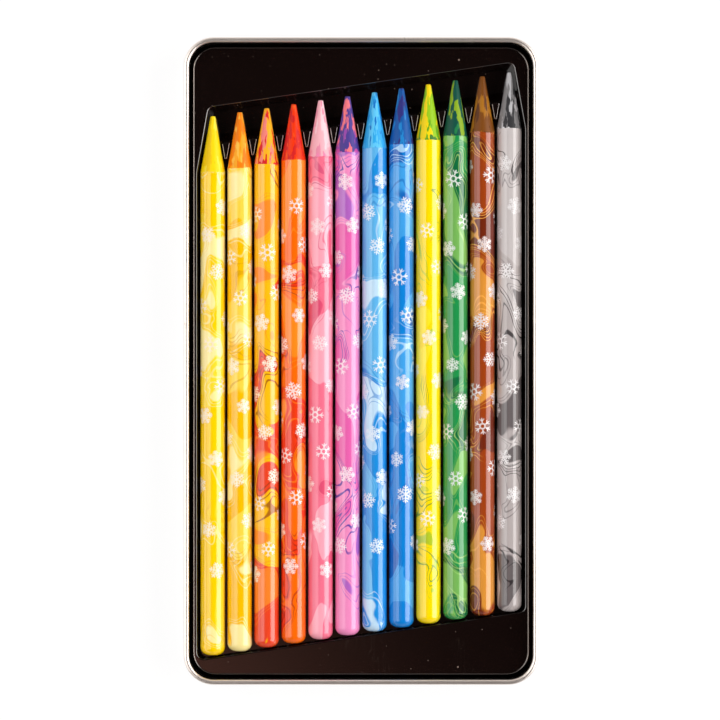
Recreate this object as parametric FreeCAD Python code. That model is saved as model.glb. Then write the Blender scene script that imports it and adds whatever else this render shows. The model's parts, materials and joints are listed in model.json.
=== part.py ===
"""Coloured pencil box: an open tin, a formed tray and a staggered row of woodless pencils.

Millimetres, +Z up, +Y towards the pencil points, origin on the table under the middle of the tin.
The sizes grow outward: the pencils set the seats, the seats set the tray, the tray sets the tin.
"""
import FreeCAD
import Part
import math
import os
from FreeCAD import Vector

# Pencils
PENCIL_COUNT = 12
PENCIL_DIAMETER = 7.15
PENCIL_LENGTH = 154.6
POINT_LENGTH = 16.3
POINT_BLUNT = 1.45
POINT_ROUND = 0.3
BUTT_ROUND = 2.4
JACKET_WALL = 0.12
PENCIL_GAP = 0.585
STAGGER_DEG = 8.4

# Formed tray
TRAY_SHEET = 0.4
SEAT_GAP = 0.15
SEAT_POINT_LEAD = 4.8
RIDGE_WIDTH = 1.2
RIDGE_ROUND = 0.25
RIDGE_SETBACK = 7.5
RAMP_RUN = 2.3
FINGER_RISE = 1.0
FINGER_GAP = 0.6
FINGER_STEP = 0.8
FINGER_END = 0.6
FINGER_ROUND = 0.27
FINGER_DRAFT_DEG = 10.0
LEDGE_RISE = 1.5
POINT_GAP = 2.7
BUTT_GAP = 0.7
SIDE_GAP = 0.9
SIDE_LAND = 1.05
POINT_LEDGE = 3.7
BUTT_LEDGE = 4.1
WALL_DRAFT_DEG = 15.0
BUTT_DRAFT_DEG = 6.0
SKIRT_DRAFT_DEG = 4.0
TRAY_CORNER = 6.4
POCKET_CORNER = 2.0
EDGE_ROUND = 0.5
UNDERSIDE_GAP = 0.3

# Tin
TIN_SHEET = 0.3
FOOT_BEND = 0.5
TRAY_CLEARANCE = 0.15
RIM_RISE = 4.3
BEAD_DIAMETER = 1.5
CURL_DEG = 285.0

# Reach of a cutting shape past the surface it cuts
OVER = 2.0

# Sizes that follow
PENCIL_RADIUS = PENCIL_DIAMETER / 2
CORE_RADIUS = PENCIL_RADIUS - JACKET_WALL
BLUNT_RADIUS = POINT_BLUNT / 2
CONE_RATE = (PENCIL_RADIUS - BLUNT_RADIUS) / POINT_LENGTH
PITCH = PENCIL_DIAMETER + PENCIL_GAP
SLANT = math.tan(math.radians(STAGGER_DEG))
SEAT_RADIUS = PENCIL_RADIUS + SEAT_GAP

SEAT_FLOOR_Z = TIN_SHEET + UNDERSIDE_GAP + TRAY_SHEET
AXIS_Z = SEAT_FLOOR_Z + SEAT_RADIUS
RIDGE_Z = AXIS_Z - math.sqrt(SEAT_RADIUS ** 2 - ((PITCH - RIDGE_WIDTH) / 2) ** 2)
FINGER_Z = AXIS_Z + FINGER_RISE
FINGER_SETBACK = RIDGE_SETBACK + FINGER_STEP
LEDGE_Z = AXIS_Z + LEDGE_RISE
RIM_Z = LEDGE_Z + RIM_RISE

END_X = PITCH * (PENCIL_COUNT - 1) / 2
POCKET_HALF_X = END_X + PENCIL_RADIUS + SIDE_GAP
TRAY_HALF_X = POCKET_HALF_X + SIDE_LAND
BUTT_LINE_Y = (BUTT_GAP + BUTT_LEDGE - PENCIL_LENGTH - POINT_GAP - POINT_LEDGE) / 2
TRAY_HALF_Y = SLANT * POCKET_HALF_X + BUTT_GAP + BUTT_LEDGE - BUTT_LINE_Y
SKIRT_RUN = (LEDGE_Z - TIN_SHEET) * math.tan(math.radians(SKIRT_DRAFT_DEG))
TRAY_TO_WALL = FOOT_BEND + TRAY_CLEARANCE
TIN_HALF_X = TRAY_HALF_X + SKIRT_RUN + TRAY_TO_WALL
TIN_HALF_Y = TRAY_HALF_Y + SKIRT_RUN + TRAY_TO_WALL
TIN_CORNER = TRAY_CORNER + TRAY_TO_WALL


def butt_y(x):
    """The slanted line on which the pencil butts stand."""
    return BUTT_LINE_Y + SLANT * x


def point_y(x):
    """The slanted line on which the pencil points stand."""
    return butt_y(x) + PENCIL_LENGTH


def pencil_places():
    """Where each pencil's butt lies, from the left of the row to the right."""
    xs = [PITCH * i - END_X for i in range(PENCIL_COUNT)]
    return [Vector(x, butt_y(x), AXIS_Z) for x in xs]


def lathe(edges):
    """Turns a closed outline in the XY plane about the Y axis."""
    face = Part.Face(Part.Wire(edges))
    return face.revolve(Vector(0, 0, 0), Vector(0, 1, 0), 360)


def polyline(points):
    """Straight edges from each point to the next."""
    return [Part.makeLine(a, b) for a, b in zip(points, points[1:])]


def quarter(centre, radius):
    """A quarter round from below the centre to its right."""
    low = centre + Vector(0, -radius, 0)
    side = centre + Vector(radius, 0, 0)
    mid = centre + Vector(radius, -radius, 0) * math.sqrt(0.5)
    return Part.Arc(low, mid, side).toShape()


def turned_stick(radius, butt, round_radius, shoulder, tip_radius, tip):
    """A stick on the Y axis with a rounded butt, a cone and a blunt end."""
    centre = Vector(radius - round_radius, butt + round_radius, 0)
    low = Vector(centre.x, butt, 0)
    side = Vector(radius, centre.y, 0)
    ends = [side, Vector(radius, shoulder, 0), Vector(tip_radius, tip, 0), Vector(0, tip, 0)]
    foot = [Vector(0, butt, 0), low]
    outline = polyline(foot) + [quarter(centre, round_radius)]
    outline += polyline(ends + [Vector(0, butt, 0)])
    return lathe(outline)


def whole_pencil():
    """The outside of one sharpened pencil, with its butt at the origin."""
    return turned_stick(PENCIL_RADIUS, 0, BUTT_ROUND, PENCIL_LENGTH - POINT_LENGTH,
                        BLUNT_RADIUS, PENCIL_LENGTH)


def pigment_stick():
    """The stick of pigment that fills the jacket and is bare along the cone."""
    shoulder = PENCIL_LENGTH - POINT_LENGTH + JACKET_WALL / CONE_RATE
    return turned_stick(CORE_RADIUS, JACKET_WALL, BUTT_ROUND - JACKET_WALL, shoulder,
                        BLUNT_RADIUS, PENCIL_LENGTH)


def soften_point(stick):
    """Rounds the edge of the blunt point."""
    rim = [e for e in stick.Edges if abs(e.CenterOfMass.y - PENCIL_LENGTH) < 1e-6]
    return stick.makeFillet(POINT_ROUND, rim)


def seat(grow):
    """The room for one pencil, made wider by a sheet where the underside is cut."""
    gap = SEAT_GAP + grow
    shoulder = PENCIL_LENGTH - POINT_LENGTH + SEAT_POINT_LEAD
    end_radius = BLUNT_RADIUS + CONE_RATE * SEAT_POINT_LEAD
    return turned_stick(PENCIL_RADIUS + gap, -gap, BUTT_ROUND + gap, shoulder,
                        end_radius + gap, PENCIL_LENGTH)


def moved_in(points, insets):
    """A counterclockwise outline with every side moved inward by its own distance."""
    count = len(points)
    lines = []
    for i in range(count):
        along = (points[(i + 1) % count] - points[i]).normalize()
        inward = Vector(-along.y, along.x, 0)
        lines.append((points[i] + inward * insets[i], along))
    corners = []
    for i in range(count):
        p, a = lines[i - 1]
        q, b = lines[i]
        reach = (q - p).cross(b).z / a.cross(b).z
        corners.append(p + a * reach)
    return corners


def drafted_block(points, drafts, z_points, z_top, z_low):
    """A block whose sides lean inward as they go down, each at its own angle."""
    def level(z):
        insets = [(z_points - z) * math.tan(math.radians(d)) for d in drafts]
        return [Vector(p.x, p.y, z) for p in moved_in(points, insets)]

    top = level(z_top)
    low = level(z_low)
    faces = [Part.Face(Part.makePolygon(ring + ring[:1])) for ring in (top, low)]
    for i in range(len(points)):
        j = (i + 1) % len(points)
        faces.append(Part.Face(Part.makePolygon([top[i], top[j], low[j], low[i], top[i]])))
    return Part.makeSolid(Part.makeShell(faces))


def round_corners(block, radius):
    """Rounds the upright corners of a drafted block."""
    upright = [e for e in block.Edges if abs(e.Vertexes[0].Z - e.Vertexes[1].Z) > 1e-6]
    return block.makeFillet(radius, upright)


def skirt_block(inset, z_top, z_low):
    """The body of the tray before the pocket is sunk in it."""
    x = TRAY_HALF_X
    y = TRAY_HALF_Y
    points = [Vector(-x, -y, 0), Vector(x, -y, 0), Vector(x, y, 0), Vector(-x, y, 0)]
    block = drafted_block(moved_in(points, [inset] * 4), [-SKIRT_DRAFT_DEG] * 4, LEDGE_Z, z_top, z_low)
    return round_corners(block, TRAY_CORNER - inset)


def pocket_block(grow, z_low):
    """The slanted pocket, its sides drawn in alongside the two outer cones."""
    x = POCKET_HALF_X
    left = point_y(-END_X) - POINT_LENGTH
    right = point_y(END_X) - POINT_LENGTH
    far_right = (point_y(x) + POINT_GAP - right) / (1 + CONE_RATE * SLANT)
    far_left = (point_y(-x) + POINT_GAP - left) / (1 - CONE_RATE * SLANT)
    points = [
        Vector(-x, butt_y(-x) - BUTT_GAP, 0),
        Vector(x, butt_y(x) - BUTT_GAP, 0),
        Vector(x, right, 0),
        Vector(x - CONE_RATE * far_right, right + far_right, 0),
        Vector(-x + CONE_RATE * far_left, left + far_left, 0),
        Vector(-x, left, 0),
    ]
    drafts = [BUTT_DRAFT_DEG] + [WALL_DRAFT_DEG] * 5
    grows = [-grow / math.cos(math.radians(d)) for d in drafts]
    block = drafted_block(moved_in(points, grows), drafts, LEDGE_Z, LEDGE_Z + OVER, z_low)
    return round_corners(block, POCKET_CORNER + grow)


def ridge_bed(grow):
    """What stays under the ridges: a slab that ends in a ramp behind the points."""
    ramp = math.atan2(RIDGE_Z - SEAT_FLOOR_Z, RAMP_RUN)
    top = RIDGE_Z - grow
    low = -OVER
    foot = (top - low) / math.tan(ramp)
    end = -grow * math.tan(ramp / 2)
    reach = 2 * PENCIL_LENGTH
    side = [Vector(0, end - reach, low), Vector(0, end + foot, low), Vector(0, end, top),
            Vector(0, end - reach, top)]
    slab = Part.Face(Part.makePolygon(side + side[:1])).extrude(Vector(2 * reach, 0, 0))
    slab.translate(Vector(-reach, 0, 0))
    slab.rotate(Vector(0, 0, 0), Vector(0, 0, 1), STAGGER_DEG)
    slab.translate(Vector(0, point_y(0) - RIDGE_SETBACK, 0))
    return slab


def pocket_room(grow):
    """Everything that is hollowed from above: pocket, trough and seats."""
    trough = pocket_block(grow, SEAT_FLOOR_Z - grow).cut(ridge_bed(grow))
    inside = pocket_block(grow, TIN_SHEET - OVER)
    seats = [seat(grow).translated(place).common(inside) for place in pencil_places()]
    above = pocket_block(grow, RIDGE_Z - grow)
    return above.multiFuse([trough] + seats)


def edges_at(shape, z):
    """The edges that lie at one height."""
    return [e for e in shape.Edges
            if all(abs(v.Z - z) < 1e-6 for v in e.Vertexes) and abs(e.CenterOfMass.z - z) < 1e-6]


def meeting(p, along, q, beside):
    """Where the line through p meets the line through q."""
    return p + along * ((q - p).cross(beside).z / along.cross(beside).z)


def finger_outline(left):
    """The top of the wedge between two cones, the left of which stands at this x."""
    right = left + PITCH
    reach = BLUNT_RADIUS + FINGER_GAP
    by_left = Vector(left + reach, point_y(left), 0)
    by_right = Vector(right - reach, point_y(right), 0)
    along_left = Vector(CONE_RATE, -1, 0)
    along_right = Vector(-CONE_RATE, -1, 0)
    front = Vector(left, point_y(left) - FINGER_SETBACK, 0)
    across = Vector(1, SLANT, 0)
    front_left = meeting(by_left, along_left, front, across)
    front_right = meeting(by_right, along_right, front, across)
    vertex = meeting(by_left, along_left, by_right, along_right)
    end = vertex + Vector(0, FINGER_END / (2 * CONE_RATE), 0)
    level = Vector(1, 0, 0)
    end_left = meeting(by_left, along_left, end, level)
    end_right = meeting(by_right, along_right, end, level)
    return [end_left, end_right, front_right, front_left]


def finger(left):
    """A wedge that stands on a ridge and keeps two cones apart."""
    block = drafted_block(finger_outline(left), [-FINGER_DRAFT_DEG] * 4, FINGER_Z, FINGER_Z, SEAT_FLOOR_Z)
    block = round_corners(block, FINGER_ROUND)
    return block.makeFillet(0.9 * FINGER_ROUND, edges_at(block, FINGER_Z))


def finger_hollow(left):
    """The inside of that wedge, which the sheet fills towards its narrow end."""
    sheet = TRAY_SHEET
    outline = finger_outline(left)
    filled = 0.45 * (outline[3].y - outline[0].y)
    points = moved_in(outline, [filled, sheet, sheet, sheet])
    return drafted_block(points, [-FINGER_DRAFT_DEG] * 4, FINGER_Z, FINGER_Z - sheet, RIDGE_Z - 2 * sheet)


def is_seat(face):
    """True for the faces that were turned about a pencil's axis."""
    axis = getattr(face.Surface, "Axis", Vector(0, 0, 1))
    return not isinstance(face.Surface, Part.Plane) and abs(axis.y) > 0.99


def ridge_edges(shape):
    """The edges along which the seats leave the flat tops of the ridges."""
    return [e for e in edges_at(shape, RIDGE_Z)
            if any(is_seat(f) for f in shape.ancestorsOfType(e, Part.Face))]


def insert_tray():
    """One formed sheet: the upper form less the same form moved in by the sheet."""
    upper = skirt_block(0, LEDGE_Z, TIN_SHEET).cut(pocket_room(0))
    upper = upper.makeFillet(min(EDGE_ROUND, 0.4 * SIDE_LAND), edges_at(upper, LEDGE_Z))
    upper = upper.makeFillet(min(RIDGE_ROUND, 0.4 * RIDGE_WIDTH), ridge_edges(upper))
    gaps = [place.x for place in pencil_places()[:-1]]
    upper = upper.multiFuse([finger(x) for x in gaps])
    lower = skirt_block(TRAY_SHEET, LEDGE_Z - TRAY_SHEET, TIN_SHEET - OVER)
    lower = lower.cut(pocket_room(TRAY_SHEET))
    lower = lower.multiFuse([finger_hollow(x) for x in gaps])
    return upper.cut(lower)


def rim_outline():
    """The bent sheet of the tin wall, upright in the XZ plane, its inner face on the Z axis."""
    s = TIN_SHEET
    b = FOOT_BEND
    r = BEAD_DIAMETER / 2
    eye = Vector(r, 0, RIM_Z - r)
    heel = Vector(-b, 0, s + b)

    def on(centre, radius, degrees):
        angle = math.radians(degrees)
        return centre + Vector(radius * math.cos(angle), 0, radius * math.sin(angle))

    def arc(centre, radius, start, end):
        ends = [on(centre, radius, a) for a in (start, (start + end) / 2, end)]
        return Part.Arc(*ends).toShape()

    tail = 180 - CURL_DEG
    return Part.Wire([
        arc(heel, b, -90, 0),
        Part.makeLine(on(heel, b, 0), on(eye, r, 180)),
        arc(eye, r, 180, tail),
        Part.makeLine(on(eye, r, tail), on(eye, r - s, tail)),
        arc(eye, r - s, tail, 180),
        Part.makeLine(on(eye, r - s, 180), on(heel, b + s, 0)),
        arc(heel, b + s, 0, -90),
        Part.makeLine(on(heel, b + s, -90), on(heel, b, -90)),
    ])


def tin_base():
    """The drawn pan: a flat floor, a bent foot, an upright wall and a curled rim."""
    run_x = TIN_HALF_X - TIN_CORNER
    run_y = TIN_HALF_Y - TIN_CORNER
    outline = Part.Face(rim_outline())
    up = Vector(0, 0, 1)
    middle = Vector(0, 0, 0)
    pieces = []
    for turn, half_x, half_y in ((0, run_x, run_y), (90, run_y, run_x), (180, run_x, run_y), (270, run_y, run_x)):
        at_wall = outline.translated(Vector(half_x + TIN_CORNER, -half_y, 0))
        wall = at_wall.extrude(Vector(0, 2 * half_y, 0))
        at_corner = outline.translated(Vector(half_x + TIN_CORNER, half_y, 0))
        corner = at_corner.revolve(Vector(half_x, half_y, 0), up, 90)
        for piece in (wall, corner):
            piece.rotate(middle, up, turn)
            pieces.append(piece)
    x = TIN_HALF_X - FOOT_BEND
    y = TIN_HALF_Y - FOOT_BEND
    floor = Part.makeBox(2 * x, 2 * y, TIN_SHEET, Vector(-x, -y, 0))
    floor = round_corners(floor, TIN_CORNER - FOOT_BEND)
    return floor.multiFuse(pieces).removeSplitter()


def main():
    os.makedirs("parts", exist_ok=True)
    tin_base().exportStep("parts/tin_base.step")
    insert_tray().exportStep("parts/insert_tray.step")
    stick = pigment_stick()
    jacket = whole_pencil().cut(stick)
    core = soften_point(stick)
    for number, place in enumerate(pencil_places(), 1):
        core.translated(place).exportStep("parts/pencil_%02d_core.step" % number)
        jacket.translated(place).exportStep("parts/pencil_%02d_jacket.step" % number)


main()
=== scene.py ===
# %% [markdown]
# A flat tin of twelve woodless colour pencils, open on a table and seen from straight above.
# The frame holds the solids at their real size, one body for the tin, one for the tray and one
# for each pencil. This lesson gives them their looks: marbled lacquer, streaked pigment points,
# a printed snow pattern, glossy formed sheet and bright tinplate. We load the frame first and
# keep its box, because nothing we add may make the object bigger.

# %% Load the frame
import json
import math
import random
import bpy
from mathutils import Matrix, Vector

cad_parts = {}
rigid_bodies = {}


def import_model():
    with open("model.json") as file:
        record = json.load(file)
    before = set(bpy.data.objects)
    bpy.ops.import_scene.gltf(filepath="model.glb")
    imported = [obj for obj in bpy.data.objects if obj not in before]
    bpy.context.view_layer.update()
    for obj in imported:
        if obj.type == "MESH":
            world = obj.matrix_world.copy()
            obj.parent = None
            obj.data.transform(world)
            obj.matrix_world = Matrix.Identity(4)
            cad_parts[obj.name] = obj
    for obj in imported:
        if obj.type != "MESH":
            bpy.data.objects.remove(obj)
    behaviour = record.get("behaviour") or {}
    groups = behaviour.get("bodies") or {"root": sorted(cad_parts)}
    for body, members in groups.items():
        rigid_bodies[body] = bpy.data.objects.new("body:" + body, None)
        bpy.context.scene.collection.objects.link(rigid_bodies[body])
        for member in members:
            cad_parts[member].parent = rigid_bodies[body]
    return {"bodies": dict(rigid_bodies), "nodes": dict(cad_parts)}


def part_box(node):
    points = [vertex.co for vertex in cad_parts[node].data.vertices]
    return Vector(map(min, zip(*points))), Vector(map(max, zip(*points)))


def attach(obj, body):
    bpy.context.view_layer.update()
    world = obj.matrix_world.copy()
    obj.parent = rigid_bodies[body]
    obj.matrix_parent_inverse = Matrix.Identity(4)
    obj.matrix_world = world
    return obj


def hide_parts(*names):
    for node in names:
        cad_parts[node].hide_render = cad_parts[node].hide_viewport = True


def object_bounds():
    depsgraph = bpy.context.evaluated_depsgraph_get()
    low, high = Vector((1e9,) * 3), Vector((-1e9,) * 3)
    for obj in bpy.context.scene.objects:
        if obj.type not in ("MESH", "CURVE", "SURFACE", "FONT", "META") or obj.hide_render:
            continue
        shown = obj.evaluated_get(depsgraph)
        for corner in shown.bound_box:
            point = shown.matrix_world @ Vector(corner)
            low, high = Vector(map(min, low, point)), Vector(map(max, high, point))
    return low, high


for leftover in list(bpy.data.objects):
    bpy.data.objects.remove(leftover)
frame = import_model()
cad_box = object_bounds()
MM = 0.001
pencil_names = sorted(name for name in frame["bodies"] if name.startswith("pencil_"))
print("box in mm", [[round(c / MM, 2) for c in corner] for corner in cad_box])

# %% [markdown]
# Finishes are built from nodes. They could be drawn in the shader editor, but a script can be read,
# compared and run again. A script gets long when every socket is set by hand, so a few short words
# build the graphs: one fills a socket with a value or with another node's output, one fills several
# inputs, one makes a node, and one does a sum on numbers.

# %% Helpers for node graphs
def wire(tree, socket, value):
    """Links a socket to an output, or sets it to a plain value."""
    if isinstance(value, bpy.types.NodeSocket):
        tree.links.new(value, socket)
    else:
        socket.default_value = value


def fill(tree, made, inputs):
    """Fills inputs of a node, found by name or by number."""
    for key, value in inputs.items():
        wire(tree, made.inputs[key], value)


def node(tree, kind, inputs=None, **settings):
    """A new node with its settings and inputs filled in."""
    made = tree.nodes.new(kind)
    for name, value in settings.items():
        setattr(made, name, value)
    fill(tree, made, inputs or {})
    return made


def calc(tree, operation, *values):
    """The result of one sum on numbers."""
    return node(tree, "ShaderNodeMath", dict(enumerate(values)), operation=operation).outputs[0]


print("helpers for node graphs ready")

# %% [markdown]
# A mask is a number over a surface: 1 where something is, and 0 elsewhere. Most masks here start as
# noise, which swings smoothly round a middle value, and a soft step turns it into a patch with a
# crisp edge. Masks multiplied together give the places that all of them share. A painted picture
# could be a mask too, but noise needs no picture and stays sharp at any distance.

# %% Masks
MIDDLE = 0.5


def soft_step(tree, value, start, end):
    """0 before start, 1 after end, and a smooth rise between them."""
    made = node(tree, "ShaderNodeMapRange", {"Value": value, "From Min": start, "From Max": end},
                interpolation_type="SMOOTHSTEP")
    return made.outputs["Result"]


def noise(tree, place, scale, seed, detail=1.0, roughness=0.5, output="Fac"):
    """Smooth noise round a middle value; the seed picks another noise of the same kind."""
    made = node(tree, "ShaderNodeTexNoise",
                {"Vector": place, "Scale": scale, "W": seed, "Detail": detail, "Roughness": roughness},
                noise_dimensions="4D")
    return made.outputs[output]


def all_of(tree, first_mask, *masks):
    """1 where every mask is 1: the product of the masks."""
    product = first_mask
    for mask in masks:
        product = calc(tree, "MULTIPLY", product, mask)
    return product


print("noise swings round", MIDDLE)

# %% [markdown]
# Dust lies on the tray, and fine scratches run over the tray and the tin. Each finish could draw
# its own, but what is used more than once is best made once, as a node group with named inputs, and
# placed with other values each time. A speck of dust is the middle of a Voronoi cell, kept in only
# a few of the cells. A scratch is the thin line where a stretched noise passes its middle value.

# %% Dust and scratches
SPECK_CORE = 0.6
SCRATCH_TURN = (0.3, 0.1, 0.6)
SCRATCH_STRETCH = (1.0, 0.12, 1.0)
SCRATCHED_SCALE = 60.0
SCRATCHED_RISE = (0.6, 0.7)


def shader_group(name, inputs, outputs):
    """An empty shader node group with named sockets; returns the tree, its inputs and its outputs."""
    tree = bpy.data.node_groups.new(name, "ShaderNodeTree")
    kinds = {"value": "NodeSocketFloat", "colour": "NodeSocketColor", "vector": "NodeSocketVector"}
    for way, sockets in (("INPUT", inputs), ("OUTPUT", outputs)):
        for label, kind in sockets:
            tree.interface.new_socket(label, in_out=way, socket_type=kinds[kind])
    return tree, tree.nodes.new("NodeGroupInput").outputs, tree.nodes.new("NodeGroupOutput").inputs


def dust_group():
    """Scattered specks: Mask is 1 on a speck."""
    tree, given, result = shader_group(
        "Dust specks", [("Place", "vector"), ("Cells", "value"), ("Size", "value"), ("Share", "value")],
        [("Mask", "value")])
    cells = node(tree, "ShaderNodeTexVoronoi", {"Vector": given["Place"], "Scale": given["Cells"]},
                 voronoi_dimensions="2D").outputs
    pick = node(tree, "ShaderNodeSeparateColor", {"Color": cells["Color"]}).outputs
    kept = calc(tree, "LESS_THAN", pick["Red"], given["Share"])
    reach = calc(tree, "MULTIPLY", given["Size"], pick["Green"])
    speck = soft_step(tree, cells["Distance"], reach, calc(tree, "MULTIPLY", reach, SPECK_CORE))
    wire(tree, result["Mask"], all_of(tree, speck, kept))
    return tree


def scratch_group():
    """Hairline scratches that run mostly one way: Mask is 1 on a scratch."""
    tree, given, result = shader_group(
        "Hairline scratches",
        [("Place", "vector"), ("Scale", "value"), ("Width", "value"), ("Seed", "value")],
        [("Mask", "value")])
    along = node(tree, "ShaderNodeMapping", {"Vector": given["Place"], "Rotation": SCRATCH_TURN,
                                             "Scale": SCRATCH_STRETCH}).outputs[0]
    field = noise(tree, along, given["Scale"], given["Seed"], detail=0.0)
    off_line = calc(tree, "ABSOLUTE", calc(tree, "SUBTRACT", field, MIDDLE))
    line = soft_step(tree, off_line, given["Width"], 0.0)
    where = noise(tree, given["Place"], SCRATCHED_SCALE, given["Seed"])
    wire(tree, result["Mask"], all_of(tree, line, soft_step(tree, where, *SCRATCHED_RISE)))
    return tree


DUST = dust_group()
SCRATCHES = scratch_group()
print("groups", DUST.name, "and", SCRATCHES.name)

# %% [markdown]
# The tray is one sheet of dark plastic, warmed and drawn over a mould. Where the sheet was drawn
# down into steep walls it stretched and lost its gloss, as it did along the edge behind the butts.
# Over the tight side edges of the wedge fingers, and along the tray's long outer edges, a pale colour is
# painted in as a highlight, for the lamps' reflections in those rounded edges. Such places could be
# painted by hand on a map. Here the lean of the surface and its place tell where they are, so they stay
# right if the tray changes. A lean is a part of the surface normal: it is 1 when the surface faces that
# way.

# %% Where the sheet is stretched, and where highlights are painted
FINGER_RISE = 1.0 * MM
HIGHLIGHT_DEPTH = 0.3 * MM
HIGHLIGHT_FADE = 0.06 * MM
OUTER_EDGE = 1.1 * MM
EDGE_FADE = 0.11 * MM
STEEP_LEAN = (0.5, 0.25)
LEAN_TO_POINTS = (0.2, 0.45)
LEAN_ASIDE = (0.15, 0.05)
LEAN_OUT = (0.2, 0.45)
LEAVES_FLAT = (0.98, 0.92)
MEETS_WALL = (0.3, 0.45)
LONG_EDGE_SHARE = 0.9


def axes(tree, vector):
    """The outputs X, Y and Z of a vector."""
    return node(tree, "ShaderNodeSeparateXYZ", {"Vector": vector}).outputs


# Painted highlight: the tray's finish lays a pale colour on these edges.
def finger_edges(tree, lean, at):
    """1 on the side edges of the fingers, which end a set height above the pencils' axes."""
    low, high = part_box("pencil_01_core")
    top = (low.z + high.z) / 2 + FINGER_RISE
    over = soft_step(tree, at["Z"], top - HIGHLIGHT_DEPTH, top - HIGHLIGHT_DEPTH + HIGHLIGHT_FADE)
    under = soft_step(tree, at["Z"], top + HIGHLIGHT_FADE, top + HIGHLIGHT_FADE / 2)
    return all_of(tree, over, under, soft_step(tree, lean["Y"], *LEAN_ASIDE))


def long_edges(tree, lean, at, side):
    """A share on the tray's long outer edges, which lie beyond a distance to each side."""
    outer = soft_step(tree, calc(tree, "ABSOLUTE", at["X"]), side, side + EDGE_FADE)
    outward = soft_step(tree, calc(tree, "ABSOLUTE", lean["X"]), *LEAN_OUT)
    return all_of(tree, outer, outward, LONG_EDGE_SHARE)


def stretched(tree, place):
    """Three masks: steep walls, dull edges that lean to the points, and tight edges for a painted
    highlight.
    """
    lean = axes(tree, tree.nodes.new("ShaderNodeNewGeometry").outputs["Normal"])
    at = axes(tree, place)
    side, end = (edge - OUTER_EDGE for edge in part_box("insert_tray")[1].xy)
    steep = soft_step(tree, lean["Z"], *STEEP_LEAN)
    inner = soft_step(tree, at["Y"], end, end - OUTER_EDGE)
    dull = all_of(tree, soft_step(tree, lean["Y"], *LEAN_TO_POINTS), inner)
    turning = all_of(tree, soft_step(tree, lean["Z"], *LEAVES_FLAT),
                     soft_step(tree, lean["Z"], *MEETS_WALL))
    # Painted highlight: the tight edges get a pale colour for the lamps' reflections in them.
    tight = calc(tree, "MAXIMUM", finger_edges(tree, lean, at), long_edges(tree, lean, at, side))
    return steep, dull, all_of(tree, turning, tight)


# The pale band on the fingers is a painted highlight.
print("fingers are pale down to", round(HIGHLIGHT_DEPTH / MM, 2), "mm below their tops")

# %% [markdown]
# Every finish needs a few more words. A material reads object coordinates, so its pattern stays on
# the piece when the piece moves. One colour is laid over another by a mask, a roughness is raised
# by masks, and small heights bend reflections. Blender counts in linear light and could be given
# such numbers, but six hex digits are easier to compare by eye, so they are turned into it here.

# %% Helpers for finishes
# The mix node has sockets for every type of value; these are the places of those for colours.
MIX_SHARE, MIX_UNDER, MIX_OVER, MIX_RESULT = 0, 6, 7, 2


def new_material(name):
    """A material with its node tree, its surface shader and its object coordinates."""
    material = bpy.data.materials.new(name)
    material.use_nodes = True
    tree = material.node_tree
    place = tree.nodes.new("ShaderNodeTexCoord").outputs["Object"]
    return material, tree, tree.nodes["Principled BSDF"], place


def use_group(tree, group, inputs):
    """One use of a node group with its inputs filled in; returns its outputs."""
    return node(tree, "ShaderNodeGroup", inputs, node_tree=group).outputs


def mix(tree, share, under, over):
    """A colour over another, by a share from 0 to 1."""
    inputs = {MIX_SHARE: share, MIX_UNDER: under, MIX_OVER: over}
    return node(tree, "ShaderNodeMix", inputs, data_type="RGBA").outputs[MIX_RESULT]


def raised(tree, base, *steps):
    """A base value raised by each mask times its amount."""
    total = base
    for mask, amount in steps:
        total = calc(tree, "MULTIPLY_ADD", mask, amount, total)
    return total


def bend_light(tree, surface, height, strength, depth):
    """Lets small heights bend the reflections of a surface."""
    bump = node(tree, "ShaderNodeBump", {"Height": height, "Strength": strength, "Distance": depth})
    wire(tree, surface.inputs["Normal"], bump.outputs["Normal"])


def paint(code):
    """A colour written as six hex digits, as linear light by the sRGB curve."""
    parts = [int(code[i:i + 2], 16) / 255 for i in (0, 2, 4)]
    return [c / 12.92 if c <= 0.04045 else ((c + 0.055) / 1.055) ** 2.4 for c in parts] + [1.0]


print("mid grey in linear light is", round(paint("808080")[0], 3))

# %% [markdown]
# A formed sheet has soft edges, a mirror-like skin and a slight waviness that bends reflections.
# The solid already has the right shape, so the tray keeps its mesh and gets a finish: near-black
# brown, with dust that catches light, scratches that dull it, and a painted highlight on its tight
# edges. The gloss could be that of the plastic itself, but here it is a coat over it, because a coat
# can be taken away by a mask where the sheet is dusty or stretched.

# %% Tray sheet
SHEET_DARK = "0c0504"
SHEET_BROWN = "110807"
# Painted highlight: the pale colour of the tight edges.
SHEET_PAINTED_HIGHLIGHT = "988a83"
DUST_PAINT = "a08d82"
PAINTED_HIGHLIGHT_COVER, LINT_COVER, DUST_COVER, SCRATCH_COVER = 0.9, 0.5, 0.6, 0.05
SHEET_ROUGH, CLOUD_ROUGH, SCRATCH_ROUGH, STEEP_ROUGH = 0.1, 0.08, 0.1, 0.04


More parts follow.
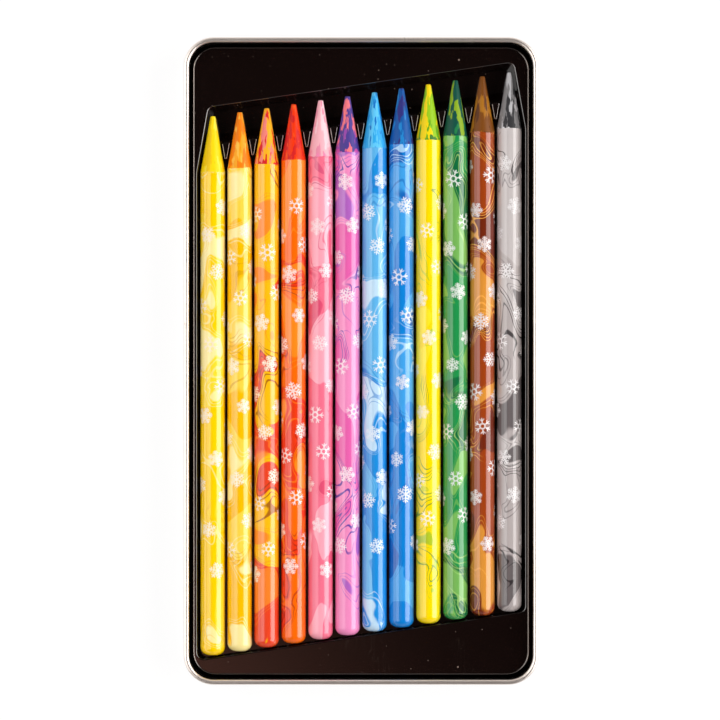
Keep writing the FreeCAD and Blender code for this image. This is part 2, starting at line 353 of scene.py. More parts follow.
def tray_finish():
    """Glossy formed sheet, worn and dusty, with a painted highlight on its tight edges."""
    material, tree, surface, place = new_material("formed_sheet")
    dust = use_group(tree, DUST, {"Place": place, "Cells": 150.0, "Size": 0.05, "Share": 0.22})["Mask"]
    lint = use_group(tree, DUST, {"Place": place, "Cells": 420.0, "Size": 0.09, "Share": 0.12})["Mask"]
    scratch = use_group(tree, SCRATCHES, {"Place": place, "Scale": 900.0, "Width": 0.016,
                                          "Seed": 3.0})["Mask"]
    cloud = noise(tree, place, scale=45.0, seed=5.0, detail=3.0)
    wave = noise(tree, place, scale=160.0, seed=9.0, detail=2.0)
    steep, dull, pale = stretched(tree, place)
    specks = calc(tree, "MAXIMUM", dust, calc(tree, "MULTIPLY", lint, LINT_COVER))
    dirty = calc(tree, "MAXIMUM", calc(tree, "MULTIPLY", specks, DUST_COVER),
                 calc(tree, "MULTIPLY", scratch, SCRATCH_COVER))
    bare = calc(tree, "MAXIMUM", calc(tree, "MAXIMUM", specks, steep), dull)
    sheet = mix(tree, cloud, paint(SHEET_DARK), paint(SHEET_BROWN))
    # Painted highlight: pale colour over the tight edges.
    sheet = mix(tree, calc(tree, "MULTIPLY", pale, PAINTED_HIGHLIGHT_COVER), sheet, paint(SHEET_PAINTED_HIGHLIGHT))
    fill(tree, surface, {
        "Base Color": mix(tree, dirty, sheet, paint(DUST_PAINT)),
        "Roughness": raised(tree, SHEET_ROUGH, (cloud, CLOUD_ROUGH), (scratch, SCRATCH_ROUGH),
                            (steep, STEEP_ROUGH)),
        "Specular IOR Level": 0.4, "Coat Weight": calc(tree, "SUBTRACT", 1.0, bare),
        "Coat Roughness": 0.07, "Coat IOR": 2.05})
    bend_light(tree, surface, wave, strength=0.1, depth=0.2 * MM)
    return material


def dress(node_name, material):
    """Gives a solid of the frame its finish."""
    for slot in frame["nodes"][node_name].material_slots:
        slot.material = material
    print(node_name, "wears", material.name)


dress("insert_tray", tray_finish())

# %% [markdown]
# Under the tray the pan of the tin is painted dark as shade, for the shadow deep in the gap between
# tin and tray, and the wall above stays bright and smooth and throws light onto the tray's outer edges.
# The pan could be cut into faces with materials of their own, but the solid is one smooth sheet, so
# distance decides: a place is inside when it lies within the rounded rectangle of the wall, below the bead
# and above the foot.

# %% Inside of the pan
RIM_BEAD = 1.5 * MM
WALL_CORNER = 7.05 * MM
WALL_FADE = (0.15 * MM, 0.08 * MM)
BEAD_FADE = (0.5 * RIM_BEAD, 0.6 * RIM_BEAD)
FOOT_HEIGHT = 0.05 * MM


def vector_calc(tree, operation, *values):
    """The result of one sum on vectors; a length or a distance comes out as a number."""
    made = node(tree, "ShaderNodeVectorMath", dict(enumerate(values)), operation=operation)
    return made.outputs["Value" if operation in ("LENGTH", "DISTANCE") else "Vector"]


def inside_pan(tree, place):
    """The mask of the pan's inner faces below its bead, and the height of the place."""
    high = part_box("tin_base")[1]
    straight = (high.x - RIM_BEAD - WALL_CORNER, high.y - RIM_BEAD - WALL_CORNER, 0.0)
    past = vector_calc(tree, "SUBTRACT", vector_calc(tree, "ABSOLUTE", place), straight)
    outer = vector_calc(tree, "MAXIMUM", past, (0.0, 0.0, 0.0))
    reach = vector_calc(tree, "LENGTH", vector_calc(tree, "MULTIPLY", outer, (1.0, 1.0, 0.0)))
    within = soft_step(tree, reach, *(WALL_CORNER + fade for fade in WALL_FADE))
    z = axes(tree, place)["Z"]
    below = soft_step(tree, z, *(high.z - fade for fade in BEAD_FADE))
    above = calc(tree, "GREATER_THAN", z, FOOT_HEIGHT)
    return all_of(tree, within, below, above), z


print("the wall turns its corners at", round(WALL_CORNER / MM, 2), "mm")

# %% [markdown]
# The tin is drawn from tinplate: thin steel with a bright skin of tin that looks faintly warm.
# Rolling leaves a fine grain along the sheet, which spreads reflections one way. The shader could
# spread them by itself, but noise drawn out along the sheet also shows the single lines. It drives
# roughness and a very shallow bump. Below the tray's ledge the metal gives way to painted shade, a dark
# colour without metal.

# %% Tinplate
SHADE_FADE = 0.3 * MM
TIN_BRIGHT = "efe7e1"
TIN_CLOUDED = "e2d8d0"
TIN_SCRATCHED = "9d928a"
# Painted shade: the dark colour for the shadow in the bottom of the pan.
PAN_PAINTED_SHADE = "0d0807"
TIN_SCRATCH_COVER = 0.4
RIM_ROUGH, INSIDE_ROUGH, GRAIN_ROUGH, TIN_SCRATCH_ROUGH = 0.32, 0.08, 0.12, 0.15
GRAIN_STRETCH = (1.0, 0.05, 1.0)


def tin_finish():
    """Bright rolled tinplate with painted shade in the bottom of the pan."""
    material, tree, surface, place = new_material("bright_tinplate")
    drawn_out = node(tree, "ShaderNodeMapping", {"Vector": place, "Scale": GRAIN_STRETCH}).outputs[0]
    grain = noise(tree, drawn_out, scale=2600.0, seed=2.0, detail=2.0)
    cloud = noise(tree, place, scale=38.0, seed=4.0, detail=3.0)
    scratch = use_group(tree, SCRATCHES, {"Place": place, "Scale": 500.0, "Width": 0.014,
                                          "Seed": 8.0})["Mask"]
    skin = mix(tree, cloud, paint(TIN_BRIGHT), paint(TIN_CLOUDED))
    bright = mix(tree, calc(tree, "MULTIPLY", scratch, TIN_SCRATCH_COVER), skin, paint(TIN_SCRATCHED))
    inside, z = inside_pan(tree, place)
    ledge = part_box("insert_tray")[1].z
    # Painted shade: below the tray's ledge the pan turns dark and loses its metal.
    painted_shade = all_of(tree, inside, soft_step(tree, z, ledge, ledge - SHADE_FADE))
    fill(tree, surface, {
        "Base Color": mix(tree, painted_shade, bright, paint(PAN_PAINTED_SHADE)),
        "Metallic": calc(tree, "SUBTRACT", 1.0, painted_shade),
        "Roughness": raised(tree, RIM_ROUGH, (inside, INSIDE_ROUGH - RIM_ROUGH), (grain, GRAIN_ROUGH),
                            (scratch, TIN_SCRATCH_ROUGH))})
    bend_light(tree, surface, grain, strength=0.06, depth=0.05 * MM)
    return material


dress("tin_base", tin_finish())

# %% [markdown]
# Each pencil is a solid stick of pigment in a thin coat of lacquer. Its main sizes and its place are
# read from the frame, so they follow the solids. Machine sharpening never leaves a perfect ring, so
# the edge between cone and lacquer wavers a little. It could be drawn by hand for each pencil. A
# few sine waves round the pencil are less work, and a draw with the pencil's number as its seed
# gives each its own waver, the same in every run.

# %% Measure the pencils
TIP_RADIUS = 0.725 * MM
WAVER = 0.16 * MM
WAVE_COUNTS = (1, 3, 4, 7)
WAVE_SHARE = (0.2, 1.0)


class Pencil:
    """The places and sizes of one pencil, read from the frame."""

    def __init__(self, name):
        low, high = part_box(name + "_jacket")
        core_low, core_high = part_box(name + "_core")
        self.name = name
        self.number = int(name[-2:])
        self.x = (low.x + high.x) / 2
        self.z = (low.z + high.z) / 2
        self.radius = (high.x - low.x) / 2
        self.core_radius = (core_high.x - core_low.x) / 2
        self.wall = self.radius - self.core_radius
        self.butt = low.y
        self.tip = core_high.y
        self.core_edge = high.y
        self.rate = (self.core_radius - TIP_RADIUS) / (self.tip - self.core_edge)
        self.edge = self.core_edge - self.wall / self.rate
        draw = random.Random(self.number)
        self.waves = [(count, WAVER * draw.uniform(*WAVE_SHARE) / count ** 0.5, draw.uniform(0, math.tau))
                      for count in WAVE_COUNTS]

    def waver(self, angle):
        """How far the sharpened edge strays at one angle round the pencil."""
        return sum(size * math.sin(count * angle + start) for count, size, start in self.waves)


pencils = [Pencil(name) for name in pencil_names]
first = pencils[0]
print("pencil", round(2 * first.radius / MM, 2), "mm thick,", round((first.tip - first.butt) / MM, 1),
      "mm long, cone", round((first.tip - first.edge) / MM, 1), "mm")

# %% [markdown]
# A pencil is round, so its pieces are turned, as on a lathe: an outline of radii is carried round
# the pencil's axis. A Screw modifier could do that, but each of its rings is a perfect circle. Here
# the rings are listed point by point, so that those at the sharpened edge can waver. Edges sharper
# than a set angle stay crisp, and the rest is shaded smooth.

# %% Turn an outline
RING_SIDES = 96
CRISP_DEGREES = 35


def arc(centre_r, centre_y, radius, start, end, steps=7):
    """Points (radius, y) on an arc, by angles in degrees from the outward direction."""
    angles = [math.radians(start + (end - start) * i / steps) for i in range(steps + 1)]
    return [(centre_r + radius * math.cos(a), centre_y + radius * math.sin(a)) for a in angles]


def put_in_scene(name, data):
    """A new object in the scene."""
    made = bpy.data.objects.new(name, data)
    bpy.context.scene.collection.objects.link(made)
    return made


def turned(name, pencil, outline, material, wavering=()):
    """A closed mesh turned about the pencil's axis; the outline starts and ends on the axis."""
    verts = [(pencil.x, outline[0][1], pencil.z)]
    for index, (radius, y) in enumerate(outline[1:-1], 1):
        for side in range(RING_SIDES):
            angle = math.tau * side / RING_SIDES
            shift = pencil.waver(angle) if index in wavering else 0.0
            verts.append((pencil.x + radius * math.sin(angle), y + shift,
                          pencil.z + radius * math.cos(angle)))
    verts.append((pencil.x, outline[-1][1], pencil.z))
    starts = [1 + ring * RING_SIDES for ring in range(len(outline) - 2)]
    faces = []
    for side in range(RING_SIDES):
        after = (side + 1) % RING_SIDES
        faces.append((0, 1 + after, 1 + side))
        for low, high in zip(starts, starts[1:]):
            faces.append((low + side, low + after, high + after, high + side))
        faces.append((starts[-1] + side, starts[-1] + after, len(verts) - 1))
    mesh = bpy.data.meshes.new(name)
    mesh.from_pydata(verts, [], faces)
    mesh.shade_smooth()
    mesh.set_sharp_from_angle(angle=math.radians(CRISP_DEGREES))
    mesh.materials.append(material)
    return put_in_scene(name, mesh)


print("a turned ring has", RING_SIDES, "sides")

# %% [markdown]
# The lacquer is marbled, as if paints had been poured and drawn through each other. Real marbling
# is made by stretching blobs of paint into thin curls, and noise can be treated the same way:
# the place we look up is pushed about by one noise, then by a finer one, before a last noise is
# read. Levels of that noise become swirls with crisp edges, and its contour lines become the fine
# veins that run alongside them. One group does this for all pencils, with each one's own colours.

# %% Marbled colour
# A push has its share of the pattern's scale, its strength and the shift of its seed.
PUSHES = ((0.8, 24.0 * MM, 0.0), (1.9, 6.0 * MM, 11.0))
# A flow has its share of the pattern's scale and the shift of its seed.
SWIRL_FLOW, VEIL_FLOW, VEINED_FLOW = (0.85, 0.0), (1.0, 23.0), (0.9, 41.0)
PUSH_DETAIL = 0.5
FLOW_ROUGHNESS = 0.4
SWIRL_EDGE, VEIL_EDGE = 0.012, 0.02
VEIL_COVER, VEIL_LINES = 0.9, 0.55
CONTOURS = 32.0
CONTOUR_WIDTH = (0.16, 0.08)
NEAR_LEVEL = (0.075, 0.05)
VEINED_RISE = (0.44, 0.54)


def contours(tree, flow, level):
    """Thin lines at even steps of a flow, kept near a level of it."""
    off_level = calc(tree, "SUBTRACT", flow, level)
    step = calc(tree, "FRACT", calc(tree, "MULTIPLY", off_level, CONTOURS))
    off_line = calc(tree, "ABSOLUTE", calc(tree, "SUBTRACT", step, MIDDLE))
    near = soft_step(tree, calc(tree, "ABSOLUTE", off_level), *NEAR_LEVEL)
    return all_of(tree, soft_step(tree, off_line, *CONTOUR_WIDTH), near)


def marbling_group():
    """Poured colours; Along is 0 at the cone and 1 at the butt, and a drift changes a level by it."""
    tree, given, result = shader_group(
        "Poured marbling",
        [("Place", "vector"), ("Along", "value"), ("Seed", "value"), ("Scale", "value"),
         ("Ground", "colour"), ("Swirl", "colour"), ("Veil", "colour"), ("Vein", "colour"),
         ("Swirl level", "value"), ("Swirl drift", "value"), ("Veil level", "value"),
         ("Veil drift", "value"), ("Vein strength", "value")],
        [("Colour", "colour")])

    def flow(place, size, shift, **settings):
        """Noise at a share of the pattern's scale, with a seed of its own."""
        scale = calc(tree, "MULTIPLY", given["Scale"], size)
        return noise(tree, place, scale, calc(tree, "ADD", given["Seed"], shift), **settings)

    def drifting(name):
        """A level that changes along the pencil."""
        return raised(tree, given[name + " level"], (given["Along"], given[name + " drift"]))

    place = given["Place"]
    for size, push, shift in PUSHES:
        field = flow(place, size, shift, detail=PUSH_DETAIL, output="Color")
        centred = vector_calc(tree, "SUBTRACT", field, (MIDDLE, MIDDLE, MIDDLE))
        place = vector_calc(tree, "MULTIPLY_ADD", centred, (push, push, push), place)
    swirl_flow = flow(place, *SWIRL_FLOW, roughness=FLOW_ROUGHNESS)
    veil_flow = flow(place, *VEIL_FLOW, roughness=FLOW_ROUGHNESS)
    swirl_level, veil_level = drifting("Swirl"), drifting("Veil")
    swirl = soft_step(tree, swirl_flow, swirl_level, calc(tree, "ADD", swirl_level, SWIRL_EDGE))
    veil = soft_step(tree, veil_flow, veil_level, calc(tree, "ADD", veil_level, VEIL_EDGE))
    veiled = calc(tree, "MAXIMUM", calc(tree, "MULTIPLY", veil, VEIL_COVER),
                  calc(tree, "MULTIPLY", contours(tree, veil_flow, veil_level), VEIL_LINES))
    veined = soft_step(tree, flow(given["Place"], *VEINED_FLOW, detail=0.0), *VEINED_RISE)
    vein = all_of(tree, contours(tree, swirl_flow, swirl_level), veined, given["Vein strength"])
    colour = mix(tree, swirl, given["Ground"], given["Swirl"])
    colour = mix(tree, veiled, colour, given["Veil"])
    wire(tree, result["Colour"], mix(tree, vein, colour, given["Vein"]))
    return tree


MARBLING = marbling_group()
print("group", MARBLING.name, "with", len(MARBLING.nodes), "nodes")

# %% [markdown]
# The points are bare pigment. Several colours run side by side through the stick, and sharpening
# cuts them on a slant, so they show as flames: long patches with jagged ends that reach from the
# lacquer towards the tip. Noise stretched along the pencil gives the patches, a finer one frays
# them, and a band of its own colour rises unevenly from the edge of the lacquer. Striped noise
# like this suits all twelve points, where a painted picture would be needed for each.

# %% Streaked pigment
STREAK_STRETCH = (1.0, 0.16, 1.0)
FRAY_SCALE, FRAY = 2600.0, 0.22
# A patch has its scale and the shift of its seed.
FLAME_PATCH, STREAK_PATCH, FOOT_PATCH = (520.0, 5.0), (760.0, 9.0), (560.0, 13.0)
PATCH_EDGE = 0.03
FOOT_SWING, FOOT_START = 12.0, -5.6
FOOT_FADE = 0.15 * MM


def pigment_group():
    """Streaked colours; Place is 0 at the edge of the lacquer and grows towards the tip."""
    tree, given, result = shader_group(
        "Streaked pigment",
        [("Place", "vector"), ("Seed", "value"), ("Main", "colour"), ("Flame", "colour"),
         ("Streak", "colour"), ("Foot", "colour"), ("Flame level", "value"), ("Streak level", "value"),
         ("Foot height", "value")],
        [("Colour", "colour"), ("Grain", "value")])
    long = node(tree, "ShaderNodeMapping", {"Vector": given["Place"], "Scale": STREAK_STRETCH}).outputs[0]
    fray = noise(tree, long, FRAY_SCALE, given["Seed"])
    frayed = calc(tree, "MULTIPLY", calc(tree, "SUBTRACT", fray, MIDDLE), FRAY)

    def field(scale, shift, detail=1.0):
        """Noise stretched along the pencil, with a seed of its own."""
        return noise(tree, long, scale, calc(tree, "ADD", given["Seed"], shift), detail)

    def patch(shape, level):
        """A frayed patch where the noise is above a level."""
        return soft_step(tree, calc(tree, "ADD", field(*shape), frayed), level,
                         calc(tree, "ADD", level, PATCH_EDGE))

    flame = patch(FLAME_PATCH, given["Flame level"])
    streak = patch(STREAK_PATCH, given["Streak level"])
    rise = raised(tree, FOOT_START, (field(*FOOT_PATCH, detail=2.0), FOOT_SWING))
    height = calc(tree, "MULTIPLY", given["Foot height"], rise)
    left = calc(tree, "SUBTRACT", height, axes(tree, given["Place"])["Y"])
    colour = mix(tree, flame, given["Main"], given["Flame"])
    colour = mix(tree, streak, colour, given["Streak"])
    colour = mix(tree, soft_step(tree, left, 0.0, FOOT_FADE), colour, given["Foot"])
    wire(tree, result["Colour"], colour)
    wire(tree, result["Grain"], fray)
    return tree


PIGMENT = pigment_group()
print("group", PIGMENT.name, "with", len(PIGMENT.nodes), "nodes")

# %% [markdown]
# Twelve recipes follow, one for each pencil from left to right. The lacquer has a ground colour,
# a swirl, a pale or dark veil and fine veins. The point has a main colour, flames, streaks and the
# band at its foot. Levels say how much of the surface a colour takes: noise is mostly between 0.3
# and 0.7, so a level of 0.5 gives about half, and a higher one gives less. A drift is the change
# of a level from the cone to the butt. The colours could sit in twelve hand-made materials, but in
# a table they are easy to compare and to change.

# %% Recipes
# Ground, swirl, veil, vein, level and drift of the swirl, level and drift of the veil, vein strength.
LACQUER = [
    ("ffd200", "ffdd30", "fdf0a8", "f0bc00", 0.56, 0.00, 0.53, 0.16, 0.5),
    ("fad648", "f8be00", "fbeda4", "d39a10", 0.54, -0.14, 0.58, 0.02, 0.6),
    ("f9bc12", "e84424", "f8862a", "8c3a1a", 0.66, -0.24, 0.58, -0.04, 0.8),
    ("f96a06", "e83a14", "fb8c1e", "a5200f", 0.58, -0.10, 0.58, 0.00, 0.7),
    ("f2728f", "f8a5b8", "dc4a70", "c8406e", 0.52, -0.02, 0.65, -0.02, 0.6),
    ("e662ae", "f08cc2", "a65cc0", "46389e", 0.50, -0.06, 0.55, 0.12, 0.9),
    ("5cb2ea", "1c8cdc", "c4e1f6", "2a7ecc", 0.56, -0.06, 0.58, 0.00, 0.6),
    ("0c7fd4", "3e9ee6", "0a5ab4", "aed6f6", 0.52, 0.00, 0.58, 0.02, 0.8),
    ("fddc00", "fde52a", "a6c42c", "4f8f34", 0.56, 0.00, 0.70, -0.12, 0.8),
    ("1e904a", "106a3c", "78b85a", "a2d074", 0.56, 0.02, 0.60, -0.13, 0.7),
    ("9a3e12", "6e2610", "dc9438", "f2ac4c", 0.56, 0.04, 0.66, -0.14, 0.9),
    ("b4acac", "c5bfbf", "5a5456", "2c282b", 0.52, 0.00, 0.66, -0.13, 0.9),
]
# Main, flame, streak, foot, level of the flames, level of the streaks, height of the foot in mm.
POINT = [
    ("fcda08", "f6cc00", "fde645", "fbd914", 0.56, 0.62, 0.3),
    ("f27e04", "f8a61e", "fabe48", "e87204", 0.55, 0.62, 0.2),
    ("f9b01c", "f4847c", "d81c20", "d21c22", 0.51, 0.56, 0.9),
    ("ee3604", "d02020", "f0561a", "a82034", 0.54, 0.62, 0.2),
    ("f3b2be", "f8ced6", "ea8eaa", "ee86b0", 0.50, 0.59, 0.6),
    ("4c3c8e", "f27884", "9648a8", "c048a0", 0.51, 0.61, 0.8),
    ("2ea6e8", "5cc2f2", "1272c8", "1a84d8", 0.50, 0.60, 0.4),
    ("1054a2", "2e2e7c", "1e80c8", "203a8c", 0.50, 0.60, 0.4),
    ("f2d406", "92c41c", "66a61c", "427c30", 0.53, 0.60, 0.7),
    ("0a4e40", "86a820", "1e7a46", "0e5c40", 0.56, 0.62, 0.2),
    ("784412", "a66c1c", "5a3010", "663812", 0.51, 0.60, 0.3),
    ("828183", "343437", "bcbcc0", "d6d6d9", 0.51, 0.60, 0.5),
]
print("recipes", len(LACQUER), "and", len(POINT))

# %% [markdown]
# Lacquer on a pencil is colour under a clear glossy film. The film could be a mesh of its own, but
# Blender's surface shader has a coat for this: a second, mirror-like layer over the colour. Places
# are read from the pencil's own axis and the edge of its lacquer, and the pencil's number sets a
# seed, so no two pencils have the same pattern.

# %% Lacquer finish
MARBLE_SCALE = 84.0
MARBLE_STRETCH = 0.72
MARBLE_SEED = 10.0
LACQUER_ROUGH, RIPPLE_ROUGH = 0.14, 0.08
CLEAR_COAT = {"Specular IOR Level": 0.2, "Coat Weight": 1.0, "Coat Roughness": 0.035, "Coat IOR": 1.5}


def centred_on(tree, place, pencil, stretch=1.0):
    """Object coordinates moved to the pencil's axis, with zero at the edge of the lacquer."""
    moved = vector_calc(tree, "SUBTRACT", place, (pencil.x, pencil.edge, pencil.z))
    return vector_calc(tree, "MULTIPLY", moved, (1.0, stretch, 1.0))


def lacquer_finish(pencil):
    """Marbled lacquer by the pencil's recipe, under a clear coat."""
    (ground, swirl, veil, vein, swirl_level, swirl_drift, veil_level, veil_drift,
     strength) = LACQUER[pencil.number - 1]
    material, tree, surface, place = new_material("marbled_lacquer_%02d" % pencil.number)
    along = node(tree, "ShaderNodeMapRange", {"Value": axes(tree, place)["Y"], "From Min": pencil.edge,
                                              "From Max": pencil.butt}).outputs["Result"]
    marbled = use_group(tree, MARBLING, {
        "Place": centred_on(tree, place, pencil, MARBLE_STRETCH), "Along": along,
        "Seed": MARBLE_SEED * pencil.number, "Scale": MARBLE_SCALE, "Ground": paint(ground),
        "Swirl": paint(swirl), "Veil": paint(veil), "Vein": paint(vein), "Swirl level": swirl_level,
        "Swirl drift": swirl_drift, "Veil level": veil_level, "Veil drift": veil_drift,
        "Vein strength": strength})
    ripple = noise(tree, place, scale=700.0, seed=3.0)
    fill(tree, surface, {"Base Color": marbled["Colour"], **CLEAR_COAT,
                         "Roughness": raised(tree, LACQUER_ROUGH, (ripple, RIPPLE_ROUGH))})
    return material


print("lacquer is", LACQUER_ROUGH, "rough under a coat of", CLEAR_COAT["Coat Roughness"])

# %% [markdown]
# Bare pigment is waxy, so it has no coat, and its highlight is broad and weak. A scan of a real
# point could give its roughness, but the grain that frays the flames is there already, and it also
# roughens the surface and bends its highlight.

# %% Pigment finish
PIGMENT_SEED = 7.0
PIGMENT_ROUGH, GRAIN_ROUGHENS = 0.32, 0.25


def pigment_finish(pencil):
    """Bare streaked pigment by the pencil's recipe."""
    main, flame, streak, foot, flame_level, streak_level, foot_mm = POINT[pencil.number - 1]
    material, tree, surface, place = new_material("bare_pigment_%02d" % pencil.number)
    streaked = use_group(tree, PIGMENT, {
        "Place": centred_on(tree, place, pencil), "Seed": PIGMENT_SEED * pencil.number,
        "Main": paint(main), "Flame": paint(flame), "Streak": paint(streak), "Foot": paint(foot),
        "Flame level": flame_level, "Streak level": streak_level, "Foot height": foot_mm * MM})
    grain = streaked["Grain"]
    fill(tree, surface, {"Base Color": streaked["Colour"], "Specular IOR Level": 0.18,
                         "Roughness": raised(tree, PIGMENT_ROUGH, (grain, GRAIN_ROUGHENS))})
    bend_light(tree, surface, grain, strength=0.25, depth=0.05 * MM)
    return material


print("pigment is", PIGMENT_ROUGH, "rough, and its grain adds up to", GRAIN_ROUGHENS)

# %% [markdown]
# Now the outlines. The lacquer is a shell with an outside and an inside, and near the cone it thins
# to a film, so its cut edge shows as a fine line and not as a step. The stick fills the shell with
# a hair's gap, which keeps the two from flickering into each other, meets it at the wavering ring
# and ends in the blunt cone. Blunt tip and rounded butt repeat those of the solids. The solids could
# be kept and only painted, but then the sharpened edge would stay a perfect ring. So both pieces
# take the place of their solids, and ride with their pencil when it is lifted out.

# %% Turn the pencils
TIP_ROUND = 0.3 * MM
TIP_STEPS = 5
BUTT_ROUND = 2.4 * MM
UNDER_LACQUER = 0.01 * MM
FILM = 0.03 * MM
THINNING = 2.0 * MM


def butt_arc(pencil, inset, start, end):
    """The rounded butt, at a distance inside the surface of the pencil."""
    return arc(pencil.radius - BUTT_ROUND, pencil.butt + BUTT_ROUND, BUTT_ROUND - inset, start, end)


def lacquer_piece(pencil):
    """The shell of lacquer: round the butt, along the barrel, and back along its inside."""
    edge, radius = pencil.edge, pencil.radius
    rim = (radius, edge)
    outline = [(0.0, pencil.butt)] + butt_arc(pencil, 0.0, -90, 0)
    outline += [(radius, edge - THINNING), rim, (radius - FILM, edge + FILM / pencil.rate),
                (radius - FILM, edge - THINNING), (pencil.core_radius, edge - 2 * THINNING)]
    outline += butt_arc(pencil, pencil.wall, 0, -90) + [(0.0, pencil.butt + pencil.wall)]
    wavering = (outline.index(rim), outline.index(rim) + 1)
    return turned(pencil.name + "_lacquer", pencil, outline, lacquer_finish(pencil), wavering)


def pigment_piece(pencil):
    """The stick inside: its bare cone, its blunt tip and the length that the lacquer covers."""
    edge, bare = pencil.edge, pencil.radius - FILM
    inset = pencil.wall + UNDER_LACQUER
    rim = (bare, edge + FILM / pencil.rate)
    outline = [(0.0, pencil.butt + inset)] + butt_arc(pencil, inset, -90, 0)
    outline += [(pencil.core_radius - UNDER_LACQUER, edge - 2 * THINNING),
                (bare - UNDER_LACQUER, edge - THINNING), rim]
    slope = math.degrees(math.atan(pencil.rate))
    outline += arc(TIP_RADIUS - TIP_ROUND, pencil.tip - TIP_ROUND, TIP_ROUND, slope, 90, TIP_STEPS)
    outline += [(0.0, pencil.tip)]
    return turned(pencil.name + "_pigment", pencil, outline, pigment_finish(pencil), (outline.index(rim),))


for pencil in pencils:
    for piece, node_name, slot in ((lacquer_piece(pencil), "_jacket", "lacquer_"),
                                   (pigment_piece(pencil), "_core", "pigment_")):
        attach(piece, pencil.name)
        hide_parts(pencil.name + node_name)
print("turned", 2 * len(pencils), "pieces, e.g.", piece.name, "with", len(piece.data.polygons), "faces")

# %% [markdown]
# White snow is printed round every barrel. A picture of a flake could be laid on, but a small mesh
# keeps its edges sharp. It is drawn once, flat, from one arm turned six times: a stem, pairs of
# ribs and a share of the hub. Three designs with different ribs keep the print lively.

# %% Draw the flakes
ARMS = 6
WEDGE_RISE = math.tan(math.pi / ARMS)
STEM = 0.15
STEM_PARTS = 4
STEM_TIP = 0.5
RIB_ROOT = 0.8


def flake(name, hub, ribs, ring=0.0):
    """A flat six-armed flake of radius 1; ribs are (place along the arm, length, lean in degrees)."""
    verts, faces = [], []

    def face(points, turn):
        """Adds one flat face, turned about the middle of the flake."""
        c, s = math.cos(turn), math.sin(turn)
        faces.append(tuple(range(len(verts), len(verts) + len(points))))
        verts.extend((r * c - t * s, r * s + t * c, 0.0) for r, t in points)

    half = STEM / 2
    corner, inner = hub * WEDGE_RISE, ring * WEDGE_RISE
    stops = [hub + (1.0 - hub) * i / STEM_PARTS for i in range(STEM_PARTS + 1)]
    for arm in range(ARMS):
        turn = math.radians(360 / ARMS * arm)
        face([(ring, -inner), (hub, -corner), (hub, corner), (ring, inner)], turn)
        for part, (low, high) in enumerate(zip(stops, stops[1:]), 1):
            end = half * STEM_TIP if part == STEM_PARTS else half
            face([(low, -half), (high, -end), (high, end), (low, half)], turn)
        for at, length, lean in ribs:
            dr, dt = math.cos(math.radians(lean)), math.sin(math.radians(lean))
            for side in (1, -1):
                root = [(at - half, side * half), (at + half * RIB_ROOT, side * half)]
                tip = [(r + length * dr, t + side * length * dt) for r, t in root]
                quad = [root[0], root[1], tip[1], tip[0]]
                face(quad[::-1] if side == 1 else quad, turn)
    mesh = bpy.data.meshes.new(name)
    mesh.from_pydata(verts, [], faces)
    return bpy.data.objects.new(name, mesh)


FLAKES = [
    flake("fern_flake", 0.17, [(0.42, 0.34, 60), (0.70, 0.24, 60)]),
    flake("hub_flake", 0.36, [(0.66, 0.30, 45)], ring=0.2),
    flake("plume_flake", 0.20, [(0.34, 0.20, 60), (0.58, 0.28, 60), (0.80, 0.16, 60)]),
]
print("flake faces", [len(o.data.polygons) for o in FLAKES])

# %% [markdown]
# A print like this is made flat and then carried round the barrel, so it is laid out on a flat
# sheet here too. Flakes could be placed one by one by hand, but Geometry Nodes do it for all
# pencils: each flake lies a golden angle further round than the last and a step further along,
# with a small stray, so the print looks even and never lines up. The three designs are picked in
# turn, and each flake has its own spin and size.

# %% Scatter the flakes with Geometry Nodes
GOLDEN_TURN = math.pi * (3 - math.sqrt(5))
TURN_STRAY = 0.15
STEP_STRAY = 0.3
DRAW_SHIFTS = {"turn": 1, "step": 2, "spin": 3, "size": 4}
DESIGN_INPUTS = ("Flake 1", "Flake 2", "Flake 3")
# The random node has sockets for every type of value; these are the places of those for numbers.
NUMBER_MIN, NUMBER_MAX, NUMBER_DRAWN = 2, 3, 1


def scattered(tree, given):
    """The flakes of one print, laid out on the flat sheet as one mesh."""
    index = tree.nodes.new("GeometryNodeInputIndex").outputs[0]

    def draw(what, low, high):
        """A random number for each flake, by its index."""
        seed = calc(tree, "ADD", given["Seed"], DRAW_SHIFTS[what])
        limits = {NUMBER_MIN: low, NUMBER_MAX: high, "ID": index, "Seed": seed}
        return node(tree, "FunctionNodeRandomValue", limits, data_type="FLOAT").outputs[NUMBER_DRAWN]

    turn = calc(tree, "ADD", calc(tree, "MULTIPLY", index, GOLDEN_TURN), given["Seed"])
    turn = calc(tree, "ADD", calc(tree, "WRAP", turn, math.pi, -math.pi),
                draw("turn", -TURN_STRAY, TURN_STRAY))
    steps = calc(tree, "ADD", index, draw("step", -STEP_STRAY, STEP_STRAY))
    along = calc(tree, "SUBTRACT", given["First"], calc(tree, "MULTIPLY", given["Step"], steps))
    flat = node(tree, "ShaderNodeCombineXYZ", {"X": calc(tree, "MULTIPLY", turn, given["Radius"]),
                                               "Y": along}).outputs[0]
    points = node(tree, "GeometryNodePoints", {"Count": given["Count"], "Position": flat}).outputs[0]
    designs = tree.nodes.new("GeometryNodeJoinGeometry")
    for name in DESIGN_INPUTS:
        design = node(tree, "GeometryNodeObjectInfo", {"Object": given[name], "As Instance": True})
        tree.links.new(design.outputs["Geometry"], designs.inputs[0])
    spin = node(tree, "ShaderNodeCombineXYZ", {"Z": draw("spin", 0.0, math.tau / ARMS)}).outputs[0]
    placed = node(tree, "GeometryNodeInstanceOnPoints", {
        "Points": points, "Instance": designs.outputs[0], "Pick Instance": True, "Instance Index": index,
        "Rotation": spin, "Scale": draw("size", given["Small"], given["Large"])}).outputs[0]
    return node(tree, "GeometryNodeRealizeInstances", {"Geometry": placed}).outputs[0]


print("each flake lies", round(math.degrees(GOLDEN_TURN), 1), "degrees further round")

